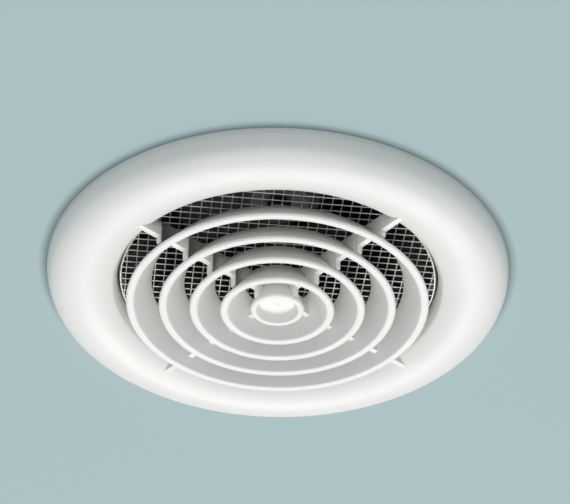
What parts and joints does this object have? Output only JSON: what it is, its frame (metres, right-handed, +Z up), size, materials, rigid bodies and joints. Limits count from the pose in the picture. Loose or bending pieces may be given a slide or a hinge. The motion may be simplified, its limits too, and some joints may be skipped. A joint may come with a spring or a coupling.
{
  "type": "bathroom extractor fan",
  "caption": "Round ceiling extractor fan: a domed grille of flaring louvre rings over a wire screen, with an axial fan, outlet spigot and backdraught flaps above.",
  "frame": {"origin": "centre of the ceiling cut-out, on the face of the ceiling", "axes": "+Z up into the ceiling void, along the fan's axis towards the duct; +X towards the terminal box"},
  "size_m": [0.18, 0.18, 0.1285],
  "materials": {
    "white_plastic": "satin warm white moulded plastic",
    "black_plastic": "matt black moulded plastic with a fine spark texture",
    "grey_plastic": "matt grey moulded plastic",
    "screen_wire": "thin bright drawn wire, slightly dull",
    "spring_steel": "bright rolled spring steel",
    "zinc_steel": "zinc plated",
    "motor_steel": "drawn steel, dull grey",
    "copper_winding": "enamelled copper wire",
    "sintered_bronze": "porous, oiled",
    "seal_foam": "closed cell foam",
    "rubber": "matt moulded rubber",
    "circuit_board": "green solder resist",
    "white_nylon": "natural nylon",
    "brass": "turned, bright"
  },
  "bodies": {
    "fan_body": {"housing": "black_plastic", "outlet_spigot": "black_plastic", "motor_bracket": "black_plastic", "terminal_box": "black_plastic", "terminal_cover": "black_plastic", "flap_pin": "spring_steel", "ceiling_gasket": "seal_foam", "ceiling_screw_1": "zinc_steel", "ceiling_screw_2": "zinc_steel", "ceiling_screw_3": "zinc_steel", "ceiling_screw_4": "zinc_steel", "spigot_screw_1": "zinc_steel", "spigot_screw_2": "zinc_steel", "spigot_screw_3": "zinc_steel", "motor_screw_1": "zinc_steel", "motor_screw_2": "zinc_steel", "motor_screw_3": "zinc_steel", "cover_screw_1": "zinc_steel", "cover_screw_2": "zinc_steel", "run_capacitor": "grey_plastic", "cable_gland": "grey_plastic", "gland_locknut": "grey_plastic", "gland_cap": "grey_plastic", "motor_lead": "grey_plastic", "motor_can": "motor_steel", "motor_end_cap": "motor_steel", "stator_winding": "copper_winding", "front_bearing": "sintered_bronze", "rear_bearing": "sintered_bronze", "motor_bush_1": "rubber", "motor_bush_2": "rubber", "motor_bush_3": "rubber", "gland_seal": "rubber", "terminal_screw_1": "brass", "terminal_screw_2": "brass", "terminal_screw_3": "brass", "control_board": "circuit_board", "terminal_block": "white_nylon"},
    "fascia_assembly": {"fascia_ring": "white_plastic", "louvre_core": "white_plastic", "insect_screen": "screen_wire", "screen_retainer": "black_plastic", "fascia_clip_1": "spring_steel", "fascia_clip_2": "spring_steel", "fascia_clip_3": "spring_steel"},
    "rotor_assembly": {"impeller": "black_plastic", "impeller_nut": "black_plastic", "rotor": "motor_steel", "rotor_shaft": "spring_steel"},
    "right_flap": {"flap_right": "grey_plastic"},
    "left_flap": {"flap_left": "grey_plastic"},
    "trimmer_knob": {"overrun_trimmer": "white_nylon"}
  },
  "joints": [
    {"name": "fascia_pull", "type": "slide", "parent": "fan_body", "child": "fascia_assembly", "axis": [0, 0, -1], "range_m": [0, 0.06]},
    {"name": "impeller_spin", "type": "hinge", "parent": "fan_body", "child": "rotor_assembly", "pos_m": [0, 0, 0.046], "axis": [0, 0, 1], "continuous": true},
    {"name": "right_flap_swing", "type": "hinge", "parent": "fan_body", "child": "right_flap", "pos_m": [0, 0, 0.0974], "axis": [0, -1, 0], "range_deg": [0, 78]},
    {"name": "left_flap_swing", "type": "hinge", "parent": "fan_body", "child": "left_flap", "pos_m": [0, 0, 0.0974], "axis": [0, 1, 0], "range_deg": [0, 78]},
    {"name": "trimmer_turn", "type": "hinge", "parent": "fan_body", "child": "trimmer_knob", "pos_m": [0.0615, -0.0085, 0.033], "axis": [1, 0, 0], "range_deg": [0, 270]}
  ]
}
